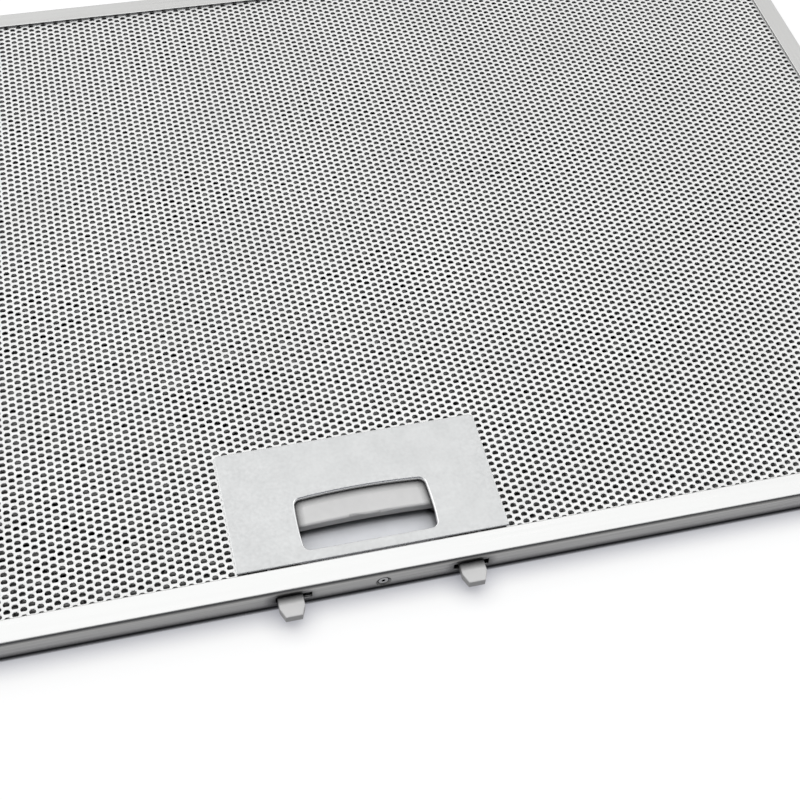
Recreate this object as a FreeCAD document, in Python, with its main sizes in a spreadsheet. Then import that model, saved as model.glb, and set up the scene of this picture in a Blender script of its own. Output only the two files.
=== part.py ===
import FreeCAD, Part
import math
import os
import re

import Sketcher
from FreeCAD import Placement, Rotation, Vector

# Cooker hood grease filter: a folded aluminium channel frame round a stack of mesh layers between
# two perforated sheets, with a sprung finger latch in the middle of one long side.
# +Z is up and out of the face that shows, +X runs along the long sides, and the latch side faces -Y.
# The origin is under the middle of the whole outline, latch tongues included, at the lower face.

# Driving sizes in millimetres. Sizes named front or rear are measured back from the latch side's
# outer face.
SIZES = {
    # Frame
    "frame_width": 450.0,
    "frame_depth": 280.0,
    "frame_height": 9.0,
    "strip": 0.8,
    "flange": 8.1,
    "bend_radius": 1.3,
    "base_radius": 2.4,
    "mitre_gap": 0.4,
    # Perforated faces, with one large gap for each patch of fine holes
    "sheet": 0.5,
    "sheet_gap": 0.3,
    "gap_across": 14.5,
    "gap_pitch": 39.5,
    "gap_column": 32.4,
    "gap_margin": 2.0,
    # Expanded mesh layers
    "diamond_long": 60.0,
    "diamond_short": 34.0,
    "diamond_pitch": 128.0,
    "diamond_row": 44.0,
    # Latch plate and its finger window
    "plate": 0.5,
    "plate_width": 84.0,
    "plate_gap": 0.8,
    "plate_rear": 51.7,
    "plate_corner": 1.5,
    "window_width": 41.0,
    "window_front": 13.0,
    "window_rear": 31.1,
    "window_rise": 1.0,
    "window_bow": 0.5,
    "window_corner": 2.2,
    "rim": 0.9,
    "rim_depth": 1.25,
    "rim_round": 0.7,
    "lip_depth": 1.45,
    "lip_round": 0.45,
    # Latch slider: finger bar, arms and tongues in one moulding
    "bar_front": 21.3,
    "bar_rise": 1.3,
    "bar_depth": 12.7,
    "bar_round": 1.0,
    "grip_depth": 5.0,
    "grip_height": 2.1,
    "arm_spacing": 55.6,
    "arm_width": 7.7,
    "arm_height": 2.6,
    "latch_level": 4.9,
    "tongue_reach": 6.8,
    "tongue_tip": 5.0,
    "tongue_taper": 3.2,
    "tongue_round": 0.4,
    "slide_gap": 0.3,
    "slot_spacing": 54.4,
    "slot_shift": 0.6,
    "slot_width": 11.0,
    "slot_height": 3.2,
    # Latch tray behind the plate
    "tray_wall": 1.0,
    "tray_floor": 0.8,
    "tray_gap": 0.5,
    "rib_wall": 0.8,
    "notch_gap": 0.5,
    # Return springs
    "spring_spacing": 24.0,
    "spring_length": 11.5,
    "spring_radius": 1.7,
    "spring_wire": 0.5,
    "peg_gap": 0.3,
    "peg_length": 1.8,
    # Rivet through the latch side's wall
    "rivet_level": 4.4,
    "rivet_sink": 4.8,
    "rivet_head": 3.0,
    "rivet_inset": 0.35,
    "rivet_shank": 2.4,
    "rivet_gap": 0.05,
    "rivet_tail": 4.0,
    "rivet_tail_length": 1.2,
    "rivet_bore": 1.2,
    "rivet_bore_depth": 1.0,
}
MESH_LAYERS = 5
SPRING_TURNS = 3
SIDES = (-1, 1)

# A cutter runs this far past the face that it cuts through.
OVERCUT = 1.0

# The size that each way of trimming an edge is set by
TRIM_SIZE = {"Fillet": "Radius", "Chamfer": "Size"}

# An edge counts as upright if this share of its length is height.
UPRIGHT_SHARE = 0.9

# Heights closer than this are the same.
SAME_HEIGHT = 0.0001

# Places worked out from the driving sizes
FRONT = "((tongue_reach - frame_depth) / 2)"
BACK = "((tongue_reach + frame_depth) / 2)"
SHEET_X = "(frame_width / 2 - base_radius - sheet_gap)"
SHEET_FRONT = f"({FRONT} + base_radius + sheet_gap)"
PLATE_FRONT = f"({FRONT} + flange + plate_gap)"
SHEET_DEPTH = "(frame_depth - 2 * base_radius - 2 * sheet_gap)"
MESH_Z = "(strip + sheet)"
LAYER = f"((frame_height - 2 * strip - 2 * sheet) / {MESH_LAYERS})"
PLATE_Z = "(frame_height - strip)"
PLATE_TOP = f"({PLATE_Z} + plate)"
FRONT_SHEET_Z = f"({PLATE_Z} - sheet)"
FLOOR_TOP = f"({MESH_Z} + tray_floor)"
BAR_X = "(arm_spacing / 2 + arm_width / 2)"
BAR_FRONT = f"({FRONT} + bar_front)"
BAR_REAR = f"({BAR_FRONT} + bar_depth)"
BAR_TOP = f"({PLATE_TOP} - rim_depth - slide_gap)"
BAR_BOTTOM = f"({FLOOR_TOP} + slide_gap)"
SPRING_LEVEL = f"(({BAR_TOP} + {BAR_BOTTOM}) / 2)"
PEG_RADIUS = "(spring_radius - spring_wire / 2 - peg_gap)"
TRAY_X = f"({BAR_X} + slide_gap + tray_wall)"
TRAY_FRONT = f"({FRONT} + strip + tray_gap)"
TRAY_REAR = f"({BAR_REAR} + spring_length + tray_wall)"

doc = FreeCAD.newDocument("grease_filter")
sizes = doc.addObject("Spreadsheet::Sheet", "Sizes")
for row, (alias, size_value) in enumerate(SIZES.items(), start=1):
    sizes.set(f"A{row}", alias)
    sizes.set(f"B{row}", str(size_value))
    sizes.setAlias(f"B{row}", alias)
gauge = doc.addObject("App::VarSet", "Gauge")
gauge.addProperty("App::PropertyFloat", "reading")
doc.recompute()


def cells(text):
    """The expression with each size's name turned into its cell."""
    return re.sub(r"[a-z_]+", lambda word: f"Sizes.{word[0]}" if word[0] in SIZES else word[0], text)


def bind(item, **expressions):
    """Bind properties of an object; two underscores in a name stand for a dot."""
    for name, text in expressions.items():
        item.setExpression(name.replace("__", "."), cells(text))
    return item


def number(text):
    """The present value of an expression, for first guesses and for laying out patterns."""
    bind(gauge, reading=text)
    gauge.recompute()
    return gauge.reading


def at(item, x="0", y="0", z="0", rotation=None):
    """Place an object, with its position bound to the sizes."""
    if rotation:
        item.Placement = Placement(Vector(), rotation)
    return bind(item, Placement__Base__x=x, Placement__Base__y=y, Placement__Base__z=z)


def block(name, x, y, z, length, width, height):
    """A box from its lowest corner and its three sizes."""
    box = doc.addObject("Part::Box", name)
    return at(bind(box, Length=length, Width=width, Height=height), x, y, z)


def cut(name, base, tools):
    """The base with one or several tools cut out of it."""
    tool = tools[0]
    if len(tools) > 1:
        tool = doc.addObject("Part::MultiFuse", f"{name}_cutters")
        tool.Shapes = tools
    result = doc.addObject("Part::Cut", name)
    result.Base = base
    result.Tool = tool
    return result


def fuse(name, pieces):
    """Several shapes joined into one."""
    result = doc.addObject("Part::MultiFuse", name)
    result.Shapes = pieces
    return result


def sketch_in(body, name, offset):
    """A sketch on a body's own level plane, lifted off it by an offset."""
    sketch = body.newObject("Sketcher::SketchObject", name)
    support = next(item for item in body.Origin.OriginFeatures if item.Role == "XY_Plane")
    sketch.AttachmentSupport = [(support, "")]
    sketch.MapMode = "FlatFace"
    return bind(sketch, AttachmentOffset__Base__z=offset)


def pin_point(sketch, geometry, vertex, x, y):
    """Bind a sketch point's two coordinates."""
    for kind, text in (("DistanceX", x), ("DistanceY", y)):
        index = sketch.addConstraint(Sketcher.Constraint(kind, -1, 1, geometry, vertex, number(text)))
        sketch.setExpression(f"Constraints[{index}]", cells(text))


def outline(sketch, points, bulges=None):
    """A closed outline through bound points; bulges gives a mid point to each side that is an arc."""
    bulges = bulges or {}
    spots = [Vector(number(x), number(y), 0) for x, y in points]
    first = sketch.GeometryCount
    for side, start in enumerate(spots):
        end = spots[(side + 1) % len(spots)]
        if side in bulges:
            middle = Vector(number(bulges[side][0]), number(bulges[side][1]), 0)
            sketch.addGeometry(Part.Arc(start, middle, end), False)
        else:
            sketch.addGeometry(Part.LineSegment(start, end), False)
    ends = []
    for side, start in enumerate(spots):
        away = [sketch.getPoint(first + side, vertex).distanceToPoint(start) for vertex in (1, 2)]
        ends.append((1, 2) if away[0] < away[1] else (2, 1))
    for side, (x, y) in enumerate(points):
        after = (side + 1) % len(spots)
        sketch.addConstraint(
            Sketcher.Constraint("Coincident", first + side, ends[side][1], first + after, ends[after][0])
        )
        pin_point(sketch, first + side, ends[side][0], x, y)
    for side, (x, y) in bulges.items():
        mark = sketch.addGeometry(Part.Point(Vector(number(x), number(y), 0)), True)
        sketch.addConstraint(Sketcher.Constraint("PointOnObject", mark, 1, first + side))
        pin_point(sketch, mark, 1, x, y)
    return sketch


def rectangle(half_x, front, back):
    """The corners of a rectangle that reaches as far to the left as to the right."""
    return [(f"-{half_x}", front), (half_x, front), (half_x, back), (f"-{half_x}", back)]


def add(body, kind, sketch, name, **expressions):
    """A pad or pocket of a sketch, as the body's new tip."""
    feature = body.newObject(f"PartDesign::{kind}", name)
    feature.Profile = sketch
    bind(feature, **expressions)
    sketch.Visibility = False
    body.Tip = feature
    doc.recompute()
    return feature


def trim_edges(body, name, kind, size, wanted):
    """Fillet or chamfer the tip's edges for which wanted is true."""
    tip = body.Tip
    names = [f"Edge{count}" for count, edge in enumerate(tip.Shape.Edges, start=1) if wanted(edge)]
    feature = body.newObject(f"PartDesign::{kind}", name)
    feature.Base = (tip, names)
    bind(feature, **{TRIM_SIZE[kind]: size})
    body.Tip = feature
    doc.recompute()
    return feature


def round_edges(body, name, radius, wanted):
    """Fillet the tip's edges for which wanted is true."""
    return trim_edges(body, name, "Fillet", radius, wanted)


def upright(edge):
    """True for an edge that runs along Z."""
    return edge.BoundBox.ZLength > UPRIGHT_SHARE * edge.Length


def level(edge, height):
    """True for an edge that lies flat at a height."""
    box = edge.BoundBox
    return abs(box.ZMin - height) < SAME_HEIGHT and abs(box.ZMax - height) < SAME_HEIGHT


def new_body(name):
    return doc.addObject("PartDesign::Body", name)


def body_block(name, half_x, front, back, bottom, height):
    """A block as a body, for its edges to be trimmed."""
    body = new_body(name)
    sketch = outline(sketch_in(body, f"{name}_outline", bottom), rectangle(half_x, front, back))
    add(body, "Pad", sketch, f"{name}_pad", Length=height)
    return body


# Frame: one strip folded to a channel and bent round the four sides, with mitred flanges, tight
# bends above and wider ones below
def slot_start(side):
    """The left edge of one tongue slot in the latch side's wall."""
    return f"slot_shift + {side} * slot_spacing / 2 - slot_width / 2"


def mitre_slit(across, along):
    """The slit at one corner, from the opening's corner to the bends, through both flanges."""
    angle = math.atan2(along, across)
    middle = BACK if along > 0 else FRONT
    corner_x = f"{across} * (frame_width / 2 - flange)"
    corner_y = f"{middle} - {along} * flange"
    slit = doc.addObject("Part::Box", "mitre_slit")
    bind(
        slit,
        Length=f"(flange - base_radius) * sqrt(2) + {OVERCUT}",
        Width="mitre_gap",
        Height=f"frame_height + {2 * OVERCUT}",
    )
    return at(
        slit,
        f"{corner_x} + {math.sin(angle)} * mitre_gap / 2 - {math.cos(angle) * OVERCUT}",
        f"{corner_y} - {math.cos(angle)} * mitre_gap / 2 - {math.sin(angle) * OVERCUT}",
        f"-{OVERCUT}",
        Rotation(Vector(0, 0, 1), math.degrees(angle)),
    )


def make_frame():
    outer = body_block("frame_outer", "frame_width / 2", FRONT, BACK, "0", "frame_height")
    round_edges(outer, "lower_bends", "base_radius", lambda edge: upright(edge) or level(edge, 0))
    top = number("frame_height")
    round_edges(outer, "upper_bends", "bend_radius", lambda edge: level(edge, top))
    channel = body_block(
        "frame_channel",
        "(frame_width / 2 - strip)",
        f"{FRONT} + strip",
        f"{BACK} - strip",
        "strip",
        "frame_height - 2 * strip",
    )
    bottom = number("strip")
    trim_edges(
        channel,
        "channel_bevels",
        "Chamfer",
        "(2 - sqrt(2)) * (base_radius - strip)",
        lambda edge: upright(edge) or level(edge, bottom),
    )
    opening = block(
        "frame_opening",
        "flange - frame_width / 2",
        f"{FRONT} + flange",
        f"-{OVERCUT}",
        "frame_width - 2 * flange",
        "frame_depth - 2 * flange",
        f"frame_height + {2 * OVERCUT}",
    )
    slits = [mitre_slit(across, along) for across in SIDES for along in SIDES]
    slots = [
        block(
            "tongue_slot",
            slot_start(side),
            f"{FRONT} - {OVERCUT}",
            "latch_level - slot_height / 2",
            "slot_width",
            f"strip + {2 * OVERCUT}",
            "slot_height",
        )
        for side in SIDES
    ]
    sink = doc.addObject("Part::Cone", "rivet_sink")
    bind(sink, Radius1="rivet_sink / 2", Radius2="rivet_shank / 2 + rivet_gap", Height="strip")
    at(sink, "slot_shift", FRONT, "rivet_level", Rotation(Vector(1, 0, 0), -90))
    return cut("frame", outer, [channel, opening, *slits, *slots, sink])


# Perforated sheets and mesh layers: flat blanks, notched for the latch, with a pattern of gaps
def latch_notch(name, bottom, height):
    """The cut-out that clears the latch tray, open to the latch side."""
    return block(
        name,
        f"-{TRAY_X} - notch_gap",
        f"{SHEET_FRONT} - {OVERCUT}",
        f"{bottom} - {OVERCUT}",
        f"2 * ({TRAY_X} + notch_gap)",
        f"{TRAY_REAR} + notch_gap - {SHEET_FRONT} + {OVERCUT}",
        f"{height} + {2 * OVERCUT}",
    )


def pattern(name, punch, column, pitch, shift, keep_clear):
    """Copies of a punch in staggered columns over the opening, clear of the flanges and the latch."""
    box = punch.Shape.BoundBox
    margin = number("gap_margin")
    half_x = number("frame_width / 2 - flange") - margin - box.XLength / 2
    half_y = number("frame_depth / 2 - flange") - margin - box.YLength / 2
    middle = number(f"({FRONT} + {BACK}) / 2")
    latch_x = number("plate_width / 2") + margin + box.XLength / 2
    latch_y = number(f"{FRONT} + plate_rear") + margin + box.YLength / 2
    columns = int(2 * half_x / column)
    copies = []
    for place in range(columns + 1):
        x = (place - columns / 2) * column
        stagger = pitch / 4 if (place + shift) % 2 else -pitch / 4
        rows = int((half_y - pitch / 4) * 2 / pitch)
        for step in range(rows + 1):
            y = middle + (step - rows / 2) * pitch + stagger
            if keep_clear and abs(x) < latch_x and y < latch_y:
                continue
            copies.append(punch.Shape.translated(Vector(x, y, 0)))
    punches = doc.addObject("Part::Feature", name)
    punches.Shape = Part.makeCompound(copies)
    return punches


def blank(name, bottom, height):
    """A flat sheet that fills the channel."""
    return block(name, f"-{SHEET_X}", SHEET_FRONT, bottom, f"2 * {SHEET_X}", SHEET_DEPTH, height)


def make_sheet(name, bottom, notched):
    """A face sheet with six-sided gaps in staggered columns."""
    punch = doc.addObject("Part::Prism", f"{name}_punch")
    punch.Polygon = 6
    bind(punch, Circumradius="gap_across / 2", Height=f"sheet + {2 * OVERCUT}")
    at(punch, z=f"{bottom} - {OVERCUT}")
    doc.recompute()
    gaps = pattern(f"{name}_gaps", punch, number("gap_column"), number("gap_pitch"), 0, notched)
    tools = [gaps]
    if notched:
        tools.append(latch_notch(f"{name}_notch", bottom, "sheet"))
    return cut(name, blank(f"{name}_blank", bottom, "sheet"), tools)


def make_layer(layer):
    """One expanded mesh layer, with diamond gaps that are staggered against the next layer's."""
    name = f"mesh_layer_{layer + 1}"
    bottom = f"({MESH_Z} + {layer} * {LAYER})"
    body = new_body(f"{name}_punch")
    half_long = "(diamond_long / 2)"
    half_short = "(diamond_short / 2)"
    corners = [(f"-{half_long}", "0"), ("0", f"-{half_short}"), (half_long, "0"), ("0", half_short)]
    sketch = outline(sketch_in(body, f"{name}_diamond", f"{bottom} - {OVERCUT}"), corners)
    add(body, "Pad", sketch, f"{name}_pad", Length=f"{LAYER} + {2 * OVERCUT}")
    gaps = pattern(
        f"{name}_gaps",
        body,
        number("diamond_pitch") / 2,
        2 * number("diamond_row"),
        layer,
        True,
    )
    notch = latch_notch(f"{name}_notch", bottom, LAYER)
    return cut(name, blank(f"{name}_blank", bottom, LAYER), [gaps, notch])


# Latch plate: a flat cover on the sheet behind the flange, whose finger window has an arched rear
# edge and a turned-down rim, and whose front edge is folded down
def window_outline(body, name, height, grow):
    """The window's outline, larger by grow on every side."""
    half = f"(window_width / 2 + {grow})"
    front = f"({FRONT} + window_front - {grow})"
    rear = f"({FRONT} + window_rear + {grow})"
    middle = f"(({front} + {rear}) / 2)"
    bulges = {
        1: (f"{half} + window_bow", middle),
        2: ("0", f"{rear} + window_rise"),
        3: (f"-{half} - window_bow", middle),
    }
    return outline(sketch_in(body, name, height), rectangle(half, front, rear), bulges)


def make_plate():
    body = new_body("latch_plate")
    rear = f"({FRONT} + plate_rear)"
    sketch = outline(
        sketch_in(body, "plate_outline", PLATE_Z),
        rectangle("(plate_width / 2)", PLATE_FRONT, rear),
    )
    add(body, "Pad", sketch, "plate_pad", Length="plate")
    rear_line = number(rear)
    round_edges(
        body,
        "plate_corners",
        "plate_corner",
        lambda edge: upright(edge) and edge.CenterOfMass.y > rear_line - number("plate_corner"),
    )
    rim_bottom = f"({PLATE_TOP} - rim_depth)"
    rim = window_outline(body, "rim_outline", rim_bottom, "rim")
    add(body, "Pad", rim, "rim_pad", Length="rim_depth")
    reach = number(f"{FRONT} + window_rear + window_rise + rim")
    round_edges(
        body,
        "rim_corners",
        "window_corner + rim",
        lambda edge: upright(edge)
        and edge.CenterOfMass.y < reach
        and abs(edge.CenterOfMass.x) < number("plate_width / 2 - plate_corner"),
    )
    window = window_outline(body, "window_outline", PLATE_TOP, "0")
    add(body, "Pocket", window, "window_pocket", Length="rim_depth")
    inside_x = number("window_width / 2 + window_bow")
    round_edges(
        body,
        "window_corners",
        "window_corner",
        lambda edge: upright(edge)
        and edge.Length > UPRIGHT_SHARE * number("rim_depth")
        and abs(edge.CenterOfMass.x) < inside_x,
    )
    window_reach = number(f"{FRONT} + window_rear + window_rise + rim / 2")
    window_start = number(f"{FRONT} + window_front - rim / 2")
    top = number(PLATE_TOP)
    round_edges(
        body,
        "rim_rounding",
        "rim_round",
        lambda edge: level(edge, top)
        and edge.BoundBox.YMax < window_reach
        and edge.BoundBox.YMin > window_start
        and abs(edge.CenterOfMass.x) < inside_x + number("rim") / 2,
    )
    lip_x = f"({TRAY_X} - tray_wall - slide_gap)"
    lip_rear = f"({PLATE_FRONT} + plate)"
    lip = outline(
        sketch_in(body, "lip_outline", f"{PLATE_TOP} - lip_depth"),
        rectangle(lip_x, PLATE_FRONT, lip_rear),
    )
    add(body, "Pad", lip, "lip_pad", Length="lip_depth")
    fold_limit = number(lip_rear)
    round_edges(
        body,
        "lip_rounding",
        "lip_round",
        lambda edge: level(edge, top) and edge.BoundBox.YMax < fold_limit,
    )
    return body


# Latch slider: a finger bar, undercut to a lip in the window, and two arms that end in the tongues
def make_slider():
    body = new_body("finger_bar")
    bar = outline(
        sketch_in(body, "bar_outline", BAR_BOTTOM),
        rectangle(BAR_X, BAR_FRONT, BAR_REAR),
        {0: ("0", f"{BAR_FRONT} + bar_rise")},
    )
    add(body, "Pad", bar, "bar_pad", Length=f"{BAR_TOP} - {BAR_BOTTOM}")
    top = number(BAR_TOP)
    ridge_limit = number(f"{BAR_FRONT} + bar_rise") + number("slide_gap")
    round_edges(
        body,
        "bar_ridge",
        "bar_round",
        lambda edge: level(edge, top) and edge.BoundBox.YMax < ridge_limit,
    )
    undercut = block(
        "bar_undercut",
        "-window_width / 2 - rim",
        f"{BAR_FRONT} - {OVERCUT}",
        f"{BAR_BOTTOM} - {OVERCUT}",
        "window_width + 2 * rim",
        f"grip_depth + {OVERCUT}",
        f"grip_height + {OVERCUT}",
    )
    lipped = cut("lipped_bar", body, [undercut])
    arms = [tongue_arm(side, label) for side, label in zip(SIDES, ("left", "right"))]
    pegs = [spring_peg("bar_peg", side, BAR_REAR, 1) for side in SIDES]
    return fuse("latch_slider", [lipped, *arms, *pegs])


def tongue_arm(side, label):
    """One arm from inside the bar to its tongue's tapered tip, rounded along its upper edges."""
    body = new_body(f"arm_{label}")
    middle = f"({side} * arm_spacing / 2)"
    tip = f"({FRONT} - tongue_reach)"
    root = f"({BAR_FRONT} + bar_depth / 2)"
    sketch = outline(
        sketch_in(body, f"arm_{label}_outline", "latch_level - arm_height / 2"),
        [
            (f"{middle} - arm_width / 2", root),
            (f"{middle} - arm_width / 2", f"{tip} + tongue_taper"),
            (f"{middle} - tongue_tip / 2", tip),
            (f"{middle} + tongue_tip / 2", tip),
            (f"{middle} + arm_width / 2", f"{tip} + tongue_taper"),
            (f"{middle} + arm_width / 2", root),
        ],
    )
    add(body, "Pad", sketch, f"arm_{label}_pad", Length="arm_height")
    top = number("latch_level + arm_height / 2")
    round_edges(body, f"arm_{label}_rounding", "tongue_round", lambda edge: level(edge, top))
    return body


def spring_peg(name, side, base, towards):
    """A peg that locates one end of a return spring, standing along Y on its base."""
    peg = doc.addObject("Part::Cylinder", name)
    bind(peg, Radius=PEG_RADIUS, Height="peg_length")
    turn = Rotation(Vector(1, 0, 0), -90 * towards)
    return at(peg, f"{side} * spring_spacing / 2", base, SPRING_LEVEL, turn)


# Latch tray: a shallow box under the plate, with guide ribs beside the arms
def make_tray():
    height = f"({PLATE_Z} - {MESH_Z})"
    inner_rear = f"({TRAY_REAR} - tray_wall)"
    inner_front = f"({TRAY_FRONT} + tray_wall)"
    depth = f"{TRAY_REAR} - {TRAY_FRONT}"
    shell = block("tray_shell", f"-{TRAY_X}", TRAY_FRONT, MESH_Z, f"2 * {TRAY_X}", depth, height)
    hollow = block(
        "tray_hollow",
        f"tray_wall - {TRAY_X}",
        inner_front,
        FLOOR_TOP,
        f"2 * ({TRAY_X} - tray_wall)",
        f"{inner_rear} - {inner_front}",
        height,
    )
    doors = [
        block(
            "arm_door",
            slot_start(side),
            f"{TRAY_FRONT} - {OVERCUT}",
            FLOOR_TOP,
            "slot_width",
            f"tray_wall + {2 * OVERCUT}",
            height,
        )
        for side in SIDES
    ]
    rivet_hole = doc.addObject("Part::Cylinder", "tray_rivet_hole")
    bind(rivet_hole, Radius="rivet_shank / 2 + rivet_gap", Height=f"tray_wall + {2 * OVERCUT}")
    turn = Rotation(Vector(1, 0, 0), -90)
    at(rivet_hole, "slot_shift", f"{TRAY_FRONT} - {OVERCUT}", "rivet_level", turn)
    box = cut("tray_box", shell, [hollow, *doors, rivet_hole])
    rib_outer = "(arm_spacing / 2 - arm_width / 2 - slide_gap)"
    ribs = [
        block(
            "guide_rib",
            f"{side} * ({rib_outer} - rib_wall / 2) - rib_wall / 2",
            inner_front,
            FLOOR_TOP,
            "rib_wall",
            f"{BAR_FRONT} - slide_gap - {inner_front}",
            f"{BAR_TOP} - {FLOOR_TOP}",
        )
        for side in SIDES
    ]
    pegs = [spring_peg("tray_peg", side, inner_rear, -1) for side in SIDES]
    return fuse("latch_tray", [box, *ribs, *pegs])


# Return springs between the bar and the tray's rear wall
def make_spring(side, label):
    helix = doc.addObject("Part::Helix", f"{label}_path")
    bind(
        helix,
        Pitch=f"(spring_length - spring_wire) / {SPRING_TURNS}",
        Height="spring_length - spring_wire",
        Radius="spring_radius",
    )
    wire = doc.addObject("Part::RegularPolygon", f"{label}_wire")
    wire.Polygon = 4
    bind(wire, Circumradius="spring_wire / 2")
    at(wire, "spring_radius", rotation=Rotation(Vector(1, 0, 0), 90))
    doc.recompute()
    coil = doc.addObject("Part::Sweep", label)
    coil.Sections = [wire]
    coil.Spine = (helix, [f"Edge{count + 1}" for count in range(len(helix.Shape.Edges))])
    coil.Solid = True
    coil.Frenet = True
    turn = Rotation(Vector(1, 0, 0), -90)
    return at(coil, f"{side} * spring_spacing / 2", f"{BAR_REAR} + spring_wire / 2", SPRING_LEVEL, turn)


# Rivet: countersunk head in the wall, shank through the tray and a set tail behind it
def make_rivet():
    body = new_body("latch_rivet")
    outer = f"({FRONT} + rivet_inset)"
    seat = f"({FRONT} + strip)"
    inside = f"({TRAY_FRONT} + tray_wall)"
    tail = f"({inside} + rivet_tail_length)"
    profile = [
        ("rivet_bore / 2", outer),
        ("rivet_head / 2", outer),
        ("rivet_shank / 2", seat),
        ("rivet_shank / 2", inside),
        ("rivet_tail / 2", inside),
        ("rivet_tail / 2", tail),
        ("0", tail),
        ("0", f"{outer} + rivet_bore_depth"),
        ("rivet_bore / 2", f"{outer} + rivet_bore_depth"),
    ]
    sketch = outline(sketch_in(body, "rivet_profile", "rivet_level"), profile)
    feature = body.newObject("PartDesign::Revolution", "rivet_turn")
    feature.Profile = sketch
    feature.ReferenceAxis = (sketch, ["V_Axis"])
    feature.Angle = 360
    body.Tip = feature
    return at(body, "slot_shift")


parts = {
    "frame": make_frame(),
    "front_face_sheet": make_sheet("front_face_sheet", FRONT_SHEET_Z, True),
    "back_face_sheet": make_sheet("back_face_sheet", "strip", False),
    "latch_plate": make_plate(),
    "latch_slider": make_slider(),
    "latch_tray": make_tray(),
    "latch_spring_left": make_spring(-1, "latch_spring_left"),
    "latch_spring_right": make_spring(1, "latch_spring_right"),
    "latch_rivet": make_rivet(),
}
for layer_index in range(MESH_LAYERS):
    parts[f"mesh_layer_{layer_index + 1}"] = make_layer(layer_index)
doc.removeObject(gauge.Name)
doc.recompute()

for item in doc.Objects:
    if "Invalid" in item.State or "Error" in item.State:
        raise RuntimeError(f"{item.Name} failed: {item.State}")
for node, part in parts.items():
    part.Label = node
    if part.Shape.isNull() or not part.Shape.isValid() or len(part.Shape.Solids) != 1:
        raise RuntimeError(f"{node} is not one valid solid")

os.makedirs("parts", exist_ok=True)
for node, part in parts.items():
    part.Shape.exportStep(f"parts/{node}.step")
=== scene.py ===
import math

import bpy
import numpy as np
from mathutils import Matrix, Vector


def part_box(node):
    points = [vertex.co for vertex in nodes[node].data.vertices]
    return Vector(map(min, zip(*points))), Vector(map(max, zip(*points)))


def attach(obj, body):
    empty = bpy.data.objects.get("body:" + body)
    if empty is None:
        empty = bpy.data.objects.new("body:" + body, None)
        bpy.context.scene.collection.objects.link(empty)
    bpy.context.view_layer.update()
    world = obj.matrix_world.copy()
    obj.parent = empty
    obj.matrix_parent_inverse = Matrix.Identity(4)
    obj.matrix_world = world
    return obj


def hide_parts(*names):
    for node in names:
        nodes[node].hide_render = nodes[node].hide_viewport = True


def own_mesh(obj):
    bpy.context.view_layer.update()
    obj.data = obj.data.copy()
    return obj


# The look of a cooker hood grease filter, dressed over its solids. Lengths are in metres.
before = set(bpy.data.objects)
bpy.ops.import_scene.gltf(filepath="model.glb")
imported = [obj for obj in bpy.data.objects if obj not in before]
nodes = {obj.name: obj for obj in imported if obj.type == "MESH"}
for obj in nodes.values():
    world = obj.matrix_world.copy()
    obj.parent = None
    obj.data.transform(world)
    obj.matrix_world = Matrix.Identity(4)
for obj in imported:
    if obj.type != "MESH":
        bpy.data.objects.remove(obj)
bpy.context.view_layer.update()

MM = 0.001

# Camera
CAMERA_LENS = 62.54
CAMERA_SENSOR = 36.0
CAMERA_CLIP = 10 * MM
CAMERA_AIM = Vector((20.3, -75.5, 9.5)) * MM
CAMERA_DISTANCE = 449.6 * MM
CAMERA_AZIMUTH = math.radians(17.86)
CAMERA_ELEVATION = math.radians(53.15)
CAMERA_ROLL = math.radians(5.115)

# Light, as radiance, where a white surface that it falls on from all round comes out as written
WORLD_FRONT = (0.09, 0.095, 0.11)
WORLD_BACK = (0.84, 0.835, 0.825)
WORLD_BACK_LOW = (1.06, 1.06, 1.055)
WORLD_HORIZON = (0.46, 0.465, 0.48)
WORLD_TURN = (-0.5, 0.15)
WORLD_RISE = (0.62, 0.32)
WORLD_BACK_RISE = (0.75, 0.45)
SOFTBOX_RADIANCE = 0.72
ENERGY_FOR_RADIANCE = 4.0
SOFTBOX_SIZE = (3.0, 1.3)
SOFTBOX_PLACE = Vector((0.13, 0.32, 1.18))
SOFTBOX_COLOUR = (0.97, 0.985, 1.0)

# Floor, with a painted shadow round the part and a painted contact shadow where it meets it
FLOOR_HALF = 5.0
FLOOR_DROP = 0.05 * MM
FLOOR_COLOUR = (0.48, 0.48, 0.485)
FLOOR_LIFT = (0.58, 0.58, 0.575)
FLOOR_SHADE = (0.5, 0.51, 0.6)
FLOOR_ROUGHNESS = 0.8
FLOOR_SPECULAR = 0.1
FLOOR_LIFT_REACH = 8.0 * MM
FLOOR_SHADE_DEPTH = 0.75
FLOOR_CONTACT_SHADOW_REACH = 1.3 * MM
FLOOR_CONTACT_SHADOW_POWER = 4.0

# Painted shade in crevices: how far away a neighbour still darkens a surface's colour, beyond what the light
# itself does, and how steeply
STRIP_SHADE_REACH = 4.5 * MM
STRIP_SHADE_POWER = 6.0
SLIDER_SHADE_REACH = 2.8 * MM
TRAY_SHADE_REACH = 2.8 * MM
PLASTIC_SHADE_POWER = 4.0
RIVET_SHADE_REACH = 1.5 * MM
RIVET_SHADE_POWER = 3.0
CREVICE_SAMPLES = 8

# Painted shade: how much of its colour a strip keeps in its upper and lower bends, and a moulding on its
# sides
UPPER_BEND_SHADE_SHARE = 0.7
LOWER_BEND_SHADE_SHARE = 0.1
SIDE_SHADE_SHARE = 0.65

# How far up a normal points where a bend, a flat face, a turned edge or a side begins and is complete
UPPER_BEND = (0.1, 0.35)
LOWER_BEND = (-0.02, -0.3)
FLAT_FACE = (0.8, 0.97)
TURNED_EDGE = (0.98, 0.9)
OFF_SIDE = (0.3, 0.8)
LEVEL_SHARE = 0.999

# Broken edges on the sheet metal
FRAME_EDGE = 0.6 * MM
PLATE_EDGE = 0.7 * MM
EDGE_SAMPLES = 8

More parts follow.
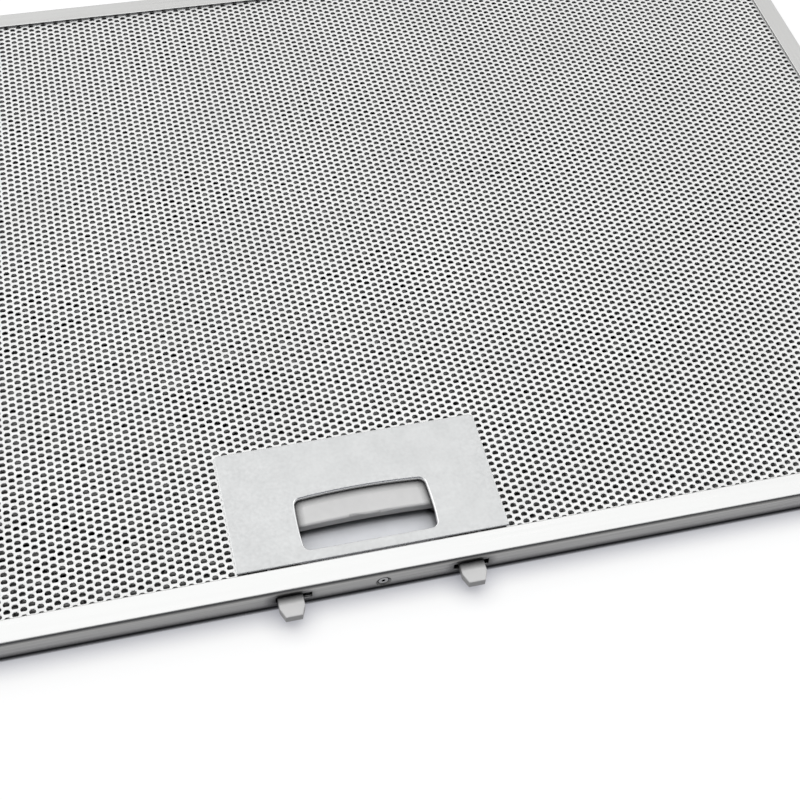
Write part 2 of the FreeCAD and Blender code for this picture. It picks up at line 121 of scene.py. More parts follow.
# Finishes: a colour and a roughness go between two ends, a noise has features a metre and a detail, and a
# grain has a depth and a strength
NOISE_MIDDLE = (0.3, 0.7)
EVEN = (1.0, 1.0, 1.0)
STRIP_FLAT = ((0.575, 0.575, 0.57), (0.59, 0.59, 0.585))
# The wall colour is the strip's colour with painted shade on its upright faces.
STRIP_SHADED_WALL = ((0.33, 0.327, 0.32), (0.42, 0.417, 0.41))
# The cut edge colour runs from painted shade on upright cut faces to a painted highlight on the level band
# beside them.
STRIP_EDGE_SHADE_AND_HIGHLIGHT = ((0.3, 0.3, 0.3), (0.68, 0.68, 0.675))
STRIP_ROUGHNESS = (0.27, 0.36)
STRIP_LINES = (1500.0, 2.0)
STRETCH_ALONG_X = (0.012, 1.0, 1.0)
STRETCH_ALONG_Y = (1.0, 0.012, 1.0)
STRIP_GRAIN = (0.01 * MM, 0.12)
SHEET_COLOUR = ((0.73, 0.73, 0.725), (0.77, 0.77, 0.765))
SHEET_ROUGHNESS = (0.52, 0.64)
SHEET_CLOUDS = (30.0, 3.0)
SHEET_STREAKS = (700.0, 3.0)
STREAK_STRETCH = (0.03, 1.0, 1.0)
SHEET_GRAIN = (0.008 * MM, 0.2)
# The mesh colour is very dark, as painted shade for the depth of the mesh stack.
MESH_SHADE_COLOUR = ((0.12, 0.12, 0.118), (0.17, 0.17, 0.168))
MESH_ROUGHNESS = (0.5, 0.35)
MESH_PATCHES = (250.0, 4.0)
MESH_RELIEF = (1800.0, 2.0)
MESH_GRAIN = (0.03 * MM, 0.4)
PLATE_COLOUR = ((0.52, 0.525, 0.525), (0.56, 0.565, 0.565))
# The bright plate colour is a painted highlight for the broken edges.
PLATE_EDGE_HIGHLIGHT = ((0.91, 0.915, 0.92), (0.94, 0.945, 0.95))
PLATE_ROUGHNESS = (0.46, 0.56)
PLATE_POLISH = -0.22
PLATE_MOTTLE = (130.0, 4.0)
PLATE_BLASTING = (900.0, 3.0)
PLATE_RELIEF = (5000.0, 2.0)
PLATE_GRAIN = (0.01 * MM, 0.3)
SLIDER_COLOUR = ((0.65, 0.645, 0.64), (0.69, 0.685, 0.68))
TRAY_COLOUR = ((0.78, 0.79, 0.82), (0.82, 0.83, 0.86))
PLASTIC_ROUGHNESS = (0.38, 0.5)
PLASTIC_SPECULAR = 0.25
PLASTIC_PATCHES = (220.0, 3.0)
PLASTIC_SHEEN = (1500.0, 2.0)
PLASTIC_RELIEF = (4000.0, 2.0)
PLASTIC_GRAIN = (0.012 * MM, 0.3)
WIRE_COLOUR = ((0.45, 0.45, 0.45), (0.6, 0.6, 0.6))
WIRE_ROUGHNESS = (0.25, 0.37)
RIVET_COLOUR = ((0.4, 0.4, 0.4), (0.5, 0.5, 0.5))
RIVET_ROUGHNESS = (0.3, 0.42)
TURNED_PATCHES = (1800.0, 3.0)

# Which sockets of a mix node take and give each kind of value: first input, second input and output
MIX_SOCKETS = {"FLOAT": (2, 3, 0), "VECTOR": (4, 5, 1), "RGBA": (6, 7, 2)}

# Perforation: openings in columns, each column half a pitch off the next, with an arched far side and a
# flatter near side
HOLE_COLUMN = 2.398 * MM
HOLE_PITCH = 2.505 * MM
HOLE_ORIGIN = Vector((74.07, -115.90)) * MM
HOLE_HALF_WIDTH = 1.03 * MM
HOLE_FAR = 0.9 * MM
HOLE_NEAR = 0.7 * MM
HOLE_SQUARENESS = 0.4
HOLE_ROLL = 0.3
FRONT_SIDES = 8
BACK_SIDES = 6
FLANGE = 8.1 * MM
TUCK = 2.6 * MM
PLATE_TUCK = Vector((2.0, 2.8)) * MM
FRONT_TILES = 3
BACK_TILES = 2

# Expanded mesh: stretched six-sided gaps between tilted strands
STRAND_COLUMN = 10.0 * MM
STRAND_PITCH = 8.4 * MM
STRAND_GAP = Vector((4.4, 2.7)) * MM
STRAND_SIDES = 6
STRAND_TILT = 0.25 * MM
STRAND_THICKNESS = 0.45 * MM
STRAND_DEPTH = 0.9 * MM
INNER_LAYERS = (2, 3, 4)

# The web round one hole as faces: each corner is a hole, as columns and rows on, and one of its corners
HERE, RIGHT, ABOVE, UPPER_LEFT, LOWER_RIGHT = (0, 0), (1, 0), (0, 1), (-1, 1), (1, -1)
WEB_OF_SIX = (
    ((HERE, 0), (RIGHT, 4), (RIGHT, 3), (HERE, 1)),
    ((HERE, 1), (ABOVE, 5), (ABOVE, 4), (HERE, 2)),
    ((HERE, 2), (UPPER_LEFT, 0), (UPPER_LEFT, 5), (HERE, 3)),
    ((HERE, 1), (RIGHT, 3), (ABOVE, 5)),
    ((HERE, 0), (LOWER_RIGHT, 2), (RIGHT, 4)),
)
WEB_OF_EIGHT = (
    ((HERE, 0), (RIGHT, 5), (RIGHT, 4), (HERE, 1)),
    ((HERE, 1), (ABOVE, 6), (ABOVE, 5), (HERE, 2)),
    ((HERE, 2), (UPPER_LEFT, 7), (UPPER_LEFT, 6), (HERE, 3)),
    ((HERE, 1), (RIGHT, 4), (RIGHT, 3), (ABOVE, 6)),
    ((HERE, 7), (LOWER_RIGHT, 2), (RIGHT, 5), (HERE, 0)),
)
WEBS = {6: WEB_OF_SIX, 8: WEB_OF_EIGHT}
FIRST_CORNER = {6: 0.0, 8: math.radians(22.5)}

# Return springs
COIL_TURNS = 6.0
COIL_STEPS = 24
COIL_SIDES = 8
COIL_WIRE = 0.25 * MM


# Node helpers
def new_material(name, metallic):
    """A material, its node tree and its Principled shader."""
    material = bpy.data.materials.new(name)
    material.use_nodes = True
    tree = material.node_tree
    shader = tree.nodes["Principled BSDF"]
    shader.inputs["Metallic"].default_value = metallic
    return material, tree, shader


def is_socket(value):
    """Whether a value is a node's socket and not a number or a colour."""
    return isinstance(value, bpy.types.NodeSocket)


def add_node(tree, kind, inputs=None, **settings):
    """A node with its settings, and with each input set to a value or linked to a socket."""
    made = tree.nodes.new(kind)
    for name, value in settings.items():
        setattr(made, name, value)
    for name, value in (inputs or {}).items():
        if is_socket(value):
            tree.links.new(value, made.inputs[name])
        else:
            made.inputs[name].default_value = value
    return made


def calculate(tree, operation, *values):
    """The result of an operation on sockets or numbers."""
    return add_node(tree, "ShaderNodeMath", dict(enumerate(values)), operation=operation).outputs[0]


def mix(tree, kind, factor, first, second):
    """A number, vector or colour between two by a factor."""
    first_input, second_input, output = MIX_SOCKETS[kind]
    inputs = {0: factor, first_input: first, second_input: second}
    return add_node(tree, "ShaderNodeMix", inputs, data_type=kind).outputs[output]


def mix_colours(tree, factor, first, second):
    """A colour between two, each a socket or a plain colour, by a factor."""
    ends = [colour if is_socket(colour) else (*colour, 1.0) for colour in (first, second)]
    return mix(tree, "RGBA", factor, *ends)


def dim(tree, colour, share):
    """A socket's colour times a share, which is a socket or a number."""
    factor = share if is_socket(share) else (share, share, share)
    return add_node(tree, "ShaderNodeVectorMath", {0: colour, 1: factor}, operation="MULTIPLY").outputs[0]


def object_place(tree):
    """Places in the shared frame."""
    return add_node(tree, "ShaderNodeTexCoord").outputs["Object"]


def noise(tree, features, stretch=EVEN):
    """A noise value from 0 to 1, with its features a metre and their detail, stretched on each axis."""
    scale, detail = features
    mapping = add_node(tree, "ShaderNodeMapping", {"Vector": object_place(tree), "Scale": stretch})
    inputs = {"Vector": mapping.outputs["Vector"], "Scale": scale, "Detail": detail}
    return add_node(tree, "ShaderNodeTexNoise", inputs).outputs["Fac"]


def between(tree, value, ends=(0.0, 1.0)):
    """A value from the middle of a noise's range spread over a pair of ends."""
    low, high = NOISE_MIDDLE
    inputs = {"Value": value, "From Min": low, "From Max": high, "To Min": ends[0], "To Max": ends[1]}
    return add_node(tree, "ShaderNodeMapRange", inputs).outputs["Result"]


def ramp(tree, value, start, end):
    """A value that eases from 0 to 1 between a start and an end."""
    inputs = {"Value": value, "From Min": start, "From Max": end}
    return add_node(tree, "ShaderNodeMapRange", inputs, interpolation_type="SMOOTHSTEP").outputs["Result"]


def open_share(tree, reach):
    """A value that is 1 in the open and less where neighbours within a reach close a surface in."""
    inputs = {"Distance": reach}
    return add_node(tree, "ShaderNodeAmbientOcclusion", inputs, samples=CREVICE_SAMPLES).outputs["AO"]


def crevice_shade(tree, reach, power):
    """A surface's open share, made steeper by a power."""
    return calculate(tree, "POWER", open_share(tree, reach), power)


def surface_normal(tree):
    """The surface's own normals."""
    return add_node(tree, "ShaderNodeNewGeometry").outputs["Normal"]


def rise(tree, direction):
    """How much of a direction points up."""
    return add_node(tree, "ShaderNodeSeparateXYZ", {"Vector": direction}).outputs["Z"]


def upward_share(tree, normal):
    """How much of a normal points up or down, without its sign."""
    return calculate(tree, "ABSOLUTE", rise(tree, normal))


def broken_edges(tree, radius):
    """Normals of which those of level faces turn over smoothly at the faces' edges."""
    plain = surface_normal(tree)
    rounded = add_node(tree, "ShaderNodeBevel", {"Radius": radius}, samples=EDGE_SAMPLES).outputs["Normal"]
    is_level = calculate(tree, "GREATER_THAN", upward_share(tree, plain), LEVEL_SHARE)
    return mix(tree, "VECTOR", is_level, plain, rounded)


def distance_inside(tree, value, middle, half):
    """How far a coordinate lies inside the edges that are half to each side of the middle."""
    away = calculate(tree, "ABSOLUTE", calculate(tree, "SUBTRACT", value, middle))
    return calculate(tree, "SUBTRACT", half, away)


def grain(tree, shader, height, relief, edges=None):
    """Fine relief on the surface, over its own normals or those of its broken edges."""
    distance, strength = relief
    bump = add_node(tree, "ShaderNodeBump", {"Height": height, "Distance": distance, "Strength": strength})
    if edges:
        tree.links.new(edges, bump.inputs["Normal"])
    tree.links.new(bump.outputs["Normal"], shader.inputs["Normal"])


def finish_with(tree, shader, colour, roughness):
    """Link a colour and a roughness to the shader."""
    tree.links.new(colour, shader.inputs["Base Color"])
    tree.links.new(roughness, shader.inputs["Roughness"])


# Materials
def rail_distances(tree):
    """How far a place on the frame lies inside its short sides and inside its long sides."""
    low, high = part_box("frame")
    axes = add_node(tree, "ShaderNodeSeparateXYZ", {"Vector": object_place(tree)})
    middle = (low.y + high.y) / 2
    from_side = distance_inside(tree, axes.outputs["X"], 0.0, high.x)
    from_end = distance_inside(tree, axes.outputs["Y"], middle, high.y - middle)
    return from_side, from_end


def rail_lines(tree, from_side, from_end):
    """Fine drawing lines that run along each rail and meet at the mitres."""
    on_side = calculate(tree, "LESS_THAN", from_side, from_end)
    along_x = noise(tree, STRIP_LINES, STRETCH_ALONG_X)
    along_y = noise(tree, STRIP_LINES, STRETCH_ALONG_Y)
    return mix(tree, "FLOAT", on_side, along_x, along_y)


def bend_shade_colour(tree, wall, normal):
    """A wall's colour with painted shade, somewhat darker in the upper bend and dark in the lower one."""
    upward = rise(tree, normal)
    # Painted shade in the upper and lower bends.
    over = dim(tree, wall, UPPER_BEND_SHADE_SHARE)
    under = dim(tree, wall, LOWER_BEND_SHADE_SHARE)
    bend_shaded = mix_colours(tree, ramp(tree, upward, *UPPER_BEND), wall, over)
    return mix_colours(tree, ramp(tree, upward, *LOWER_BEND), bend_shaded, under)


def frame_material():
    """Satin anodised strip with fine drawing lines, with painted shade on its walls, in its bends and in
    crevices, and at its cut inner edges painted shade on upright faces and a painted highlight on the level
    band.
    """
    material, tree, shader = new_material("satin_strip", 1.0)
    from_side, from_end = rail_distances(tree)
    streaks = rail_lines(tree, from_side, from_end)
    share = between(tree, streaks)
    flat_colour = mix_colours(tree, share, *STRIP_FLAT)
    # The upright walls take a darker colour as painted shade, and more painted shade where neighbours close
    # them in.
    wall_shade_colour = mix_colours(tree, share, *STRIP_SHADED_WALL)
    shaded_wall = dim(tree, wall_shade_colour, crevice_shade(tree, STRIP_SHADE_REACH, STRIP_SHADE_POWER))
    normal = surface_normal(tree)
    bend_shaded = bend_shade_colour(tree, shaded_wall, normal)
    level_share = upward_share(tree, normal)
    folded = mix_colours(tree, ramp(tree, level_share, *FLAT_FACE), bend_shaded, flat_colour)
    # Upright cut faces at the flanges' inner edges get painted shade, the level band beside them a painted
    # highlight.
    edge_shade_and_highlight = mix_colours(tree, level_share, *STRIP_EDGE_SHADE_AND_HIGHLIGHT)
    inside = calculate(tree, "MINIMUM", from_side, from_end)
    colour = mix_colours(tree, ramp(tree, inside, FLANGE - FRAME_EDGE, FLANGE), folded, edge_shade_and_highlight)
    finish_with(tree, shader, colour, between(tree, streaks, STRIP_ROUGHNESS))
    grain(tree, shader, streaks, STRIP_GRAIN, broken_edges(tree, FRAME_EDGE))
    return material


def sheet_material():
    """Mill finish sheet: rolling streaks and a faint cloudiness."""
    material, tree, shader = new_material("mill_sheet", 1.0)
    streaks = noise(tree, SHEET_STREAKS, STREAK_STRETCH)
    colour = mix_colours(tree, between(tree, noise(tree, SHEET_CLOUDS)), *SHEET_COLOUR)
    finish_with(tree, shader, colour, between(tree, streaks, SHEET_ROUGHNESS))
    grain(tree, shader, streaks, SHEET_GRAIN)
    return material


def mesh_material():
    """Slit and drawn strands, with duller and shinier patches, their colour kept very dark as painted shade.
    """
    material, tree, shader = new_material("drawn_mesh", 1.0)
    patches = noise(tree, MESH_PATCHES)
    colour = mix_colours(tree, between(tree, patches), *MESH_SHADE_COLOUR)
    finish_with(tree, shader, colour, between(tree, patches, MESH_ROUGHNESS))
    grain(tree, shader, noise(tree, MESH_RELIEF), MESH_GRAIN)
    return material


def plate_material():
    """Satin plate with a fine blasted grain, faint mottling, and broken edges that are smoother and carry a
    painted highlight.
    """
    material, tree, shader = new_material("satin_plate", 1.0)
    mottle = noise(tree, PLATE_MOTTLE)
    satin = mix_colours(tree, between(tree, mottle), *PLATE_COLOUR)
    # A painted highlight on the broken edges, where they are also smoother.
    edge_highlight = mix_colours(tree, mottle, *PLATE_EDGE_HIGHLIGHT)
    edges = broken_edges(tree, PLATE_EDGE)
    turned = ramp(tree, upward_share(tree, edges), *TURNED_EDGE)
    colour = mix_colours(tree, turned, satin, edge_highlight)
    blasted = between(tree, noise(tree, PLATE_BLASTING), PLATE_ROUGHNESS)
    finish_with(tree, shader, colour, calculate(tree, "MULTIPLY_ADD", turned, PLATE_POLISH, blasted))
    grain(tree, shader, noise(tree, PLATE_RELIEF), PLATE_GRAIN, edges)
    return material


def plastic_material(name, colours, reach):
    """Moulded plastic with a fine spark-eroded texture, with painted shade in crevices and on its sides."""
    material, tree, shader = new_material(name, 0.0)
    shader.inputs["Specular IOR Level"].default_value = PLASTIC_SPECULAR
    colour = mix_colours(tree, between(tree, noise(tree, PLASTIC_PATCHES)), *colours)
    # Painted shade in crevices and on the sides.
    shaded = dim(tree, colour, crevice_shade(tree, reach, PLASTIC_SHADE_POWER))
    off_side = ramp(tree, upward_share(tree, surface_normal(tree)), *OFF_SIDE)
    side_shaded = mix_colours(tree, off_side, dim(tree, shaded, SIDE_SHADE_SHARE), shaded)
    finish_with(tree, shader, side_shaded, between(tree, noise(tree, PLASTIC_SHEEN), PLASTIC_ROUGHNESS))
    grain(tree, shader, noise(tree, PLASTIC_RELIEF), PLASTIC_GRAIN)
    return material


def turned_material(name, colours, roughness, reach=None):
    """Small plain metal parts, with painted shade where neighbours within a reach close them in."""
    material, tree, shader = new_material(name, 1.0)
    patches = noise(tree, TURNED_PATCHES)
    colour = mix_colours(tree, between(tree, patches), *colours)
    # Painted shade where neighbours close the part in.
    if reach:
        colour = dim(tree, colour, crevice_shade(tree, reach, RIVET_SHADE_POWER))
    finish_with(tree, shader, colour, between(tree, patches, roughness))
    return material


# Meshes
def mesh_piece(name, points, faces):
    """A mesh object from points and groups of faces, each group with its own number of corners."""
    mesh = bpy.data.meshes.new(name)
    corners = np.concatenate([group.ravel() for group in faces])
    counts = np.concatenate([np.full(len(group), group.shape[1]) for group in faces])
    starts = np.concatenate([[0], np.cumsum(counts)[:-1]])
    mesh.vertices.add(len(points))
    mesh.vertices.foreach_set("co", points.astype(np.float32).ravel())
    mesh.loops.add(len(corners))
    mesh.loops.foreach_set("vertex_index", corners.astype(np.int32))
    mesh.polygons.add(len(counts))
    mesh.polygons.foreach_set("loop_start", starts.astype(np.int32))
    mesh.update(calc_edges=True)
    mesh.validate()
    mesh.shade_flat()
    piece = bpy.data.objects.new(name, mesh)
    bpy.context.scene.collection.objects.link(piece)
    return piece


def dress(piece, body, material, replaced):
    """Give a new piece its body, its finish and the solid that it stands for."""
    piece.data.materials.append(material)
    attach(piece, body)
    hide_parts(replaced)


def paint(node, material):
    """Give one of the solids its material."""
    mesh = nodes[node].data
    mesh.materials.clear()
    mesh.materials.append(material)


# Lattice meshes: a sheet full of holes in staggered columns
def lattice_index(origin, column, pitch, low, high, latch=None):
    """Hole middles inside a rectangle, and each lattice place's number or -1; latch is a box left out."""
    first_column = math.ceil((low.x - origin.x) / column)
    last_column = math.floor((high.x - origin.x) / column)
    first_row = math.floor((low.y - origin.y) / pitch - last_column / 2)
    last_row = math.ceil((high.y - origin.y) / pitch - first_column / 2)
    columns = np.arange(first_column, last_column + 1)
    rows = np.arange(first_row, last_row + 1)
    across, along = np.meshgrid(columns, rows, indexing="ij")
    x = origin.x + column * across
    y = origin.y + pitch * (along + across / 2)
    wanted = (y >= low.y) & (y <= high.y)
    if latch:
        wanted &= ~((np.abs(x) < latch.x) & (y < latch.y))
    index = np.full(wanted.shape, -1)
    index[wanted] = np.arange(wanted.sum())
    return np.stack([x[wanted], y[wanted]], axis=1), index


def neighbour(index, columns_on, rows_on):
    """The number of the hole that many columns and rows on from each lattice place."""
    wide, deep = index.shape
    padded = np.pad(index, 1, constant_values=-1)
    return padded[1 + columns_on : 1 + columns_on + wide, 1 + rows_on : 1 + rows_on + deep]


def web_faces(index, column_range, sides):
    """Faces of the web between the holes of some columns, by corner numbers."""
    chosen = np.zeros(index.shape, bool)
    chosen[column_range[0] : column_range[1]] = True
    faces = []
    for plan in WEBS[sides]:
        holes = [neighbour(index, *steps) for steps, _ in plan]
        whole = chosen & np.all([hole >= 0 for hole in holes], axis=0)
        corners = [hole[whole] * sides + corner for hole, (_, corner) in zip(holes, plan)]
        faces.append(np.stack(corners, axis=1))
    return faces


def border_edges(faces, count):
    """Directed edges of faces that no other face shares."""
    pairs = [np.stack([group, np.roll(group, -1, axis=1)], axis=2).reshape(-1, 2) for group in faces]
    edges = np.concatenate(pairs)
    forward = edges[:, 0] * count + edges[:, 1]
    backward = edges[:, 1] * count + edges[:, 0]
    return edges[~np.isin(forward, backward)]


def roll_rims(piece, shown, sideways, drop):
    """Turn a sheet's normals into its holes at their rims, and set the last group's, the walls', sideways."""
    rolled = HOLE_ROLL * sideways - np.sign(drop)
    rolled /= np.linalg.norm(rolled, axis=1, keepdims=True)
    normals = [rolled[group.ravel()] for group in shown[:-1]] + [sideways[shown[-1].ravel()]]
    piece.data.shade_smooth()
    piece.data.normals_split_custom_set(np.concatenate(normals).tolist())


def lattice_tile(name, points, drop, faces, inward=None):
    """One piece of a lattice sheet: outer skin, walls, and rolled rims or, without inward, an inner skin."""
    used = np.unique(np.concatenate([group.ravel() for group in faces]))
    renumber = np.zeros(len(points), int)
    renumber[used] = np.arange(len(used))
    skin = [renumber[group] for group in faces]
    count = len(used)
    edges = border_edges(skin, count)
    walls = np.stack([edges[:, 0], edges[:, 0] + count, edges[:, 1] + count, edges[:, 1]], axis=1)
    shown = [*skin, walls]
    if inward is None:
        shown += [group[:, ::-1] + count for group in skin]
    if drop[2] > 0:
        shown = [group[:, ::-1] for group in shown]
    piece = mesh_piece(name, np.concatenate([points[used], points[used] + drop]), shown)
    if inward is not None:
        roll_rims(piece, shown, np.concatenate([inward[used], inward[used]]), drop)
    return piece


def ring(sides):
    """Directions from a hole's middle to its corners, in X and Y."""
    angles = FIRST_CORNER[sides] + np.arange(sides) * 2 * math.pi / sides
    return np.stack([np.cos(angles), np.sin(angles)], axis=1)


def half_moon(sides):
    """An opening's corners round its middle: arched at the far side, squarer at the near side."""
    cosine, sine = ring(sides).T
    squared = np.sign(cosine) * np.abs(cosine) ** HOLE_SQUARENESS
    x = HOLE_HALF_WIDTH * np.where(sine > 0, cosine, squared)
    y = np.where(sine > 0, HOLE_FAR, HOLE_NEAR) * sine
    return np.stack([x, y, np.zeros(sides)], axis=1)


def strand_gap():
    """A mesh gap's corners round its middle, raised at the far side and lowered at the near side."""
    around = ring(STRAND_SIDES)
    return np.concatenate([around * np.array(STRAND_GAP), STRAND_TILT * around[:, 1:]], axis=1)


def hole_corners(middles, level, rim):
    """The corners of a rim round every hole, at a level."""
    flat = np.concatenate([middles, np.full((len(middles), 1), level)], axis=1)
    return (flat[:, None, :] + rim[None, :, :]).reshape(-1, 3)


def perforated_sheet(node, outer_level, towards, tiles, sides, latch):
    """A face sheet with all its fine holes, in tiles side by side; towards is the way to its inner face."""
    low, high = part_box("frame")
    edge = Vector((FLANGE - TUCK, FLANGE - TUCK, 0.0))
    middles, index = lattice_index(HOLE_ORIGIN, HOLE_COLUMN, HOLE_PITCH, low + edge, high - edge, latch)
    points = hole_corners(middles, outer_level, half_moon(sides))
    inward = np.tile(np.pad(-ring(sides), ((0, 0), (0, 1))), (len(middles), 1))
    sheet_low, sheet_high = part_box(node)
    drop = np.array([0.0, 0.0, towards * (sheet_high.z - sheet_low.z)])
    bounds = np.linspace(0, index.shape[0], tiles + 1).astype(int)
    material = sheet_material()
    for tile in range(tiles):
        faces = web_faces(index, bounds[tile : tile + 2], sides)
        piece = lattice_tile(f"{node}_tile_{tile + 1}", points, drop, faces, inward)
        dress(piece, "filter", material, node)


def expanded_mesh(node, material, level, latch):
    """One layer of expanded mesh with real strands, whose upper side is at a level."""
    low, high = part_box(node)
    middle = (low + high) / 2
    edge = Vector((STRAND_COLUMN, STRAND_PITCH, 0.0)) / 2
    middles, index = lattice_index(middle.xy, STRAND_COLUMN, STRAND_PITCH, low + edge, high - edge, latch)
    points = hole_corners(middles, level, strand_gap())
    drop = np.array([0.0, 0.0, -STRAND_THICKNESS])
    faces = web_faces(index, (0, index.shape[0]), STRAND_SIDES)
    piece = lattice_tile(f"{node}_strands", points, drop, faces)
    dress(piece, "filter", material, node)


# Return springs as round wire
def tube_faces(steps, sides):
    """The sides and the two end caps of a tube whose rings of points follow one another."""
    here = np.arange(sides)
    following = np.roll(here, -1)
    starts = np.arange(steps)[:, None] * sides
    corners = [starts + here, starts + following, starts + sides + following, starts + sides + here]
    quads = np.stack(corners, axis=2).reshape(-1, 4)
    caps = np.stack([here[::-1], here + steps * sides])
    return [quads, caps]


def coil_spring(node, material):
    """A spring of round wire in its solid's box, closer wound at its ends."""
    low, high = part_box(node)
    middle = (low + high) / 2
    radius = (high.x - low.x) / 2 - COIL_WIRE
    steps = int(COIL_TURNS * COIL_STEPS)
    turn = np.arange(steps + 1) * 2 * math.pi / COIL_STEPS
    share = np.arange(steps + 1) / steps
    eased = share - np.sin(2 * math.pi * share) / (4 * math.pi)
    path_y = low.y + COIL_WIRE + (high.y - low.y - 2 * COIL_WIRE) * eased
    around = np.arange(COIL_SIDES) * 2 * math.pi / COIL_SIDES
    reach = radius + COIL_WIRE * np.cos(around)[None, :]
    x = middle.x + reach * np.cos(turn)[:, None]
    y = path_y[:, None] + COIL_WIRE * np.sin(around)[None, :]
    z = middle.z + reach * np.sin(turn)[:, None]
    points = np.stack([x, y, z], axis=2).reshape(-1, 3)
    piece = mesh_piece(f"{node}_wire", points, tube_faces(steps, COIL_SIDES))
    piece.data.shade_smooth()
    dress(piece, "filter", material, node)
    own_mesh(piece)


# Stage
def floor_material():
    """A pale floor with a soft painted shadow round the part and a darker painted contact shadow where it
    meets it.
    """
    material, tree, shader = new_material("pale_floor", 0.0)
    shader.inputs["Roughness"].default_value = FLOOR_ROUGHNESS
    shader.inputs["Specular IOR Level"].default_value = FLOOR_SPECULAR
    # Painted contact shadow where the floor meets the part.
    contact_shadow = crevice_shade(tree, FLOOR_CONTACT_SHADOW_REACH, FLOOR_CONTACT_SHADOW_POWER)
    pale = add_node(tree, "ShaderNodeRGB").outputs[0]
    pale.default_value = (*FLOOR_COLOUR, 1.0)
    tree.links.new(dim(tree, pale, contact_shadow), shader.inputs["Base Color"])
    # Painted shadow round the part: the lift to white fades and turns bluish where the part closes the floor
    # in.
    shade = open_share(tree, FLOOR_LIFT_REACH)
    tree.links.new(mix_colours(tree, shade, FLOOR_SHADE, FLOOR_LIFT), shader.inputs["Emission Color"])
    path = add_node(tree, "ShaderNodeLightPath").outputs
    seen = calculate(tree, "MAXIMUM", path["Is Camera Ray"], path["Is Glossy Ray"])
    lit = calculate(tree, "MULTIPLY_ADD", shade, FLOOR_SHADE_DEPTH, 1.0 - FLOOR_SHADE_DEPTH)
    strength = calculate(tree, "MULTIPLY", calculate(tree, "MULTIPLY", lit, contact_shadow), seen)
    tree.links.new(strength, shader.inputs["Emission Strength"])
    return material


def make_floor():
    """A wide plain floor just under the part."""
    half = FLOOR_HALF
    corners = np.array([[-half, -half], [half, -half], [half, half], [-half, half]])
    points = np.pad(corners, ((0, 0), (0, 1)), constant_values=-FLOOR_DROP)
    floor = mesh_piece("floor", points, [np.array([[0, 1, 2, 3]])])
    floor.data.materials.append(floor_material())


def make_world():
    """A room that is dark at the front, pale at the back and paler towards the horizon."""
    world = bpy.data.worlds.new("studio")
    bpy.context.scene.world = world
    world.use_nodes = True
    tree = world.node_tree
    direction = add_node(tree, "ShaderNodeTexCoord").outputs["Generated"]
    axes = add_node(tree, "ShaderNodeSeparateXYZ", {"Vector": direction}).outputs
    front = mix_colours(tree, ramp(tree, axes["Z"], *WORLD_RISE), WORLD_FRONT, WORLD_HORIZON)
    back = mix_colours(tree, ramp(tree, axes["Z"], *WORLD_BACK_RISE), WORLD_BACK, WORLD_BACK_LOW)
    colour = mix_colours(tree, ramp(tree, axes["Y"], *WORLD_TURN), front, back)
    tree.links.new(colour, tree.nodes["Background"].inputs["Color"])


def make_softbox():
    """One large lamp above and behind the part."""
    lamp = bpy.data.lights.new("softbox", "AREA")
    lamp.shape = "RECTANGLE"
    lamp.size, lamp.size_y = SOFTBOX_SIZE
    lamp.energy = SOFTBOX_RADIANCE * ENERGY_FOR_RADIANCE * lamp.size * lamp.size_y
    lamp.color = SOFTBOX_COLOUR
    holder = bpy.data.objects.new("softbox", lamp)
    holder.location = SOFTBOX_PLACE
    holder.rotation_euler = (-SOFTBOX_PLACE).to_track_quat("-Z", "Y").to_euler()
    holder.visible_camera = False
    bpy.context.scene.collection.objects.link(holder)


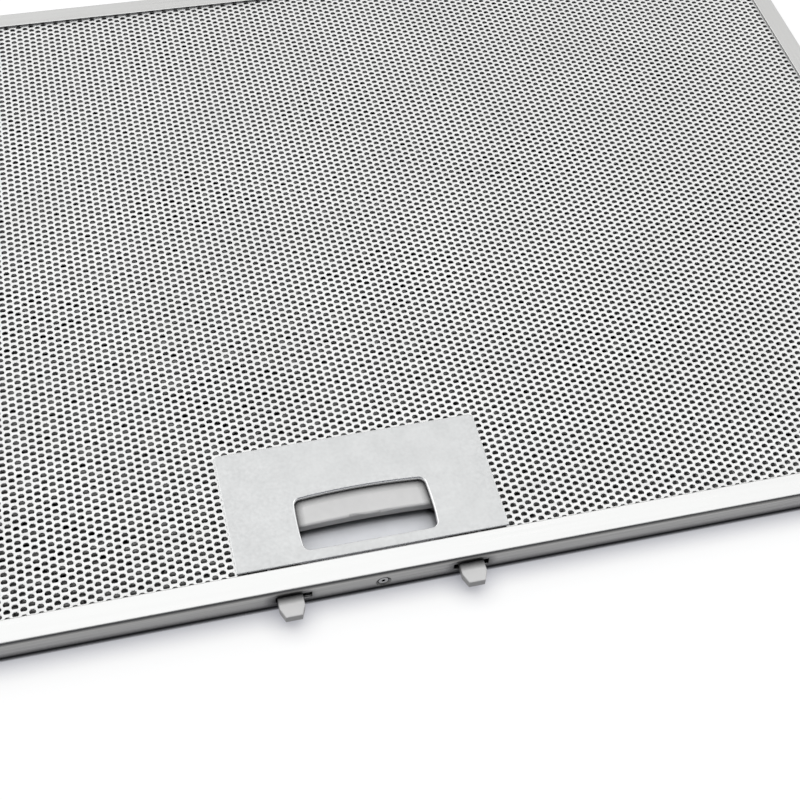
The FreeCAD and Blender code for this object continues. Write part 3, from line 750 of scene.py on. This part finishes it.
def make_camera():
    """A camera that looks down at the latch from the front, a little rolled."""
    level_reach = math.cos(CAMERA_ELEVATION)
    across = math.sin(CAMERA_AZIMUTH) * level_reach
    along = math.cos(CAMERA_AZIMUTH) * level_reach
    forward = Vector((across, along, -math.sin(CAMERA_ELEVATION)))
    level = Vector((math.cos(CAMERA_AZIMUTH), -math.sin(CAMERA_AZIMUTH), 0.0))
    right = Matrix.Rotation(-CAMERA_ROLL, 3, forward) @ level
    up = right.cross(forward)
    data = bpy.data.cameras.new("camera")
    data.lens = CAMERA_LENS
    data.sensor_width = CAMERA_SENSOR
    data.clip_start = CAMERA_CLIP
    camera = bpy.data.objects.new("camera", data)
    turn = Matrix((right, up, -forward)).transposed().to_4x4()
    camera.matrix_world = Matrix.Translation(CAMERA_AIM - forward * CAMERA_DISTANCE) @ turn
    bpy.context.scene.collection.objects.link(camera)
    bpy.context.scene.camera = camera


# The part
def make_sheets():
    """Both face sheets, of which the front one leaves out what the latch plate covers."""
    front_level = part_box("front_face_sheet")[1].z
    back_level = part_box("back_face_sheet")[0].z
    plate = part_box("latch_plate")[1].xy - PLATE_TUCK
    perforated_sheet("front_face_sheet", front_level, -1, FRONT_TILES, FRONT_SIDES, plate)
    perforated_sheet("back_face_sheet", back_level, 1, BACK_TILES, BACK_SIDES, None)


def make_mesh_layers():
    """The mesh layers, of which the two outer ones have real strands that leave out the tray."""
    strands = mesh_material()
    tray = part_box("latch_tray")[1].xy + Vector((STRAND_COLUMN, STRAND_PITCH)) / 2
    upper_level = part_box("mesh_layer_5")[1].z - STRAND_DEPTH
    lower_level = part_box("mesh_layer_1")[0].z + STRAND_DEPTH + STRAND_THICKNESS
    expanded_mesh("mesh_layer_5", strands, upper_level, tray)
    expanded_mesh("mesh_layer_1", strands, lower_level, tray)
    # The inner layers take the same dark colour, as painted shade inside the stack.
    for layer in INNER_LAYERS:
        paint(f"mesh_layer_{layer}", strands)


def make_latch():
    """The springs' wire, and the finishes of the latch's solids."""
    steel = turned_material("drawn_wire", WIRE_COLOUR, WIRE_ROUGHNESS)
    for side in ("left", "right"):
        coil_spring(f"latch_spring_{side}", steel)
    paint("latch_plate", plate_material())
    paint("latch_slider", plastic_material("warm_grey_plastic", SLIDER_COLOUR, SLIDER_SHADE_REACH))
    paint("latch_tray", plastic_material("cool_grey_plastic", TRAY_COLOUR, TRAY_SHADE_REACH))
    paint("latch_rivet", turned_material("rivet_metal", RIVET_COLOUR, RIVET_ROUGHNESS, RIVET_SHADE_REACH))


make_sheets()
make_mesh_layers()
make_latch()
paint("frame", frame_material())
make_floor()
make_world()
make_softbox()
make_camera()
bpy.context.scene.view_settings.view_transform = "Standard"
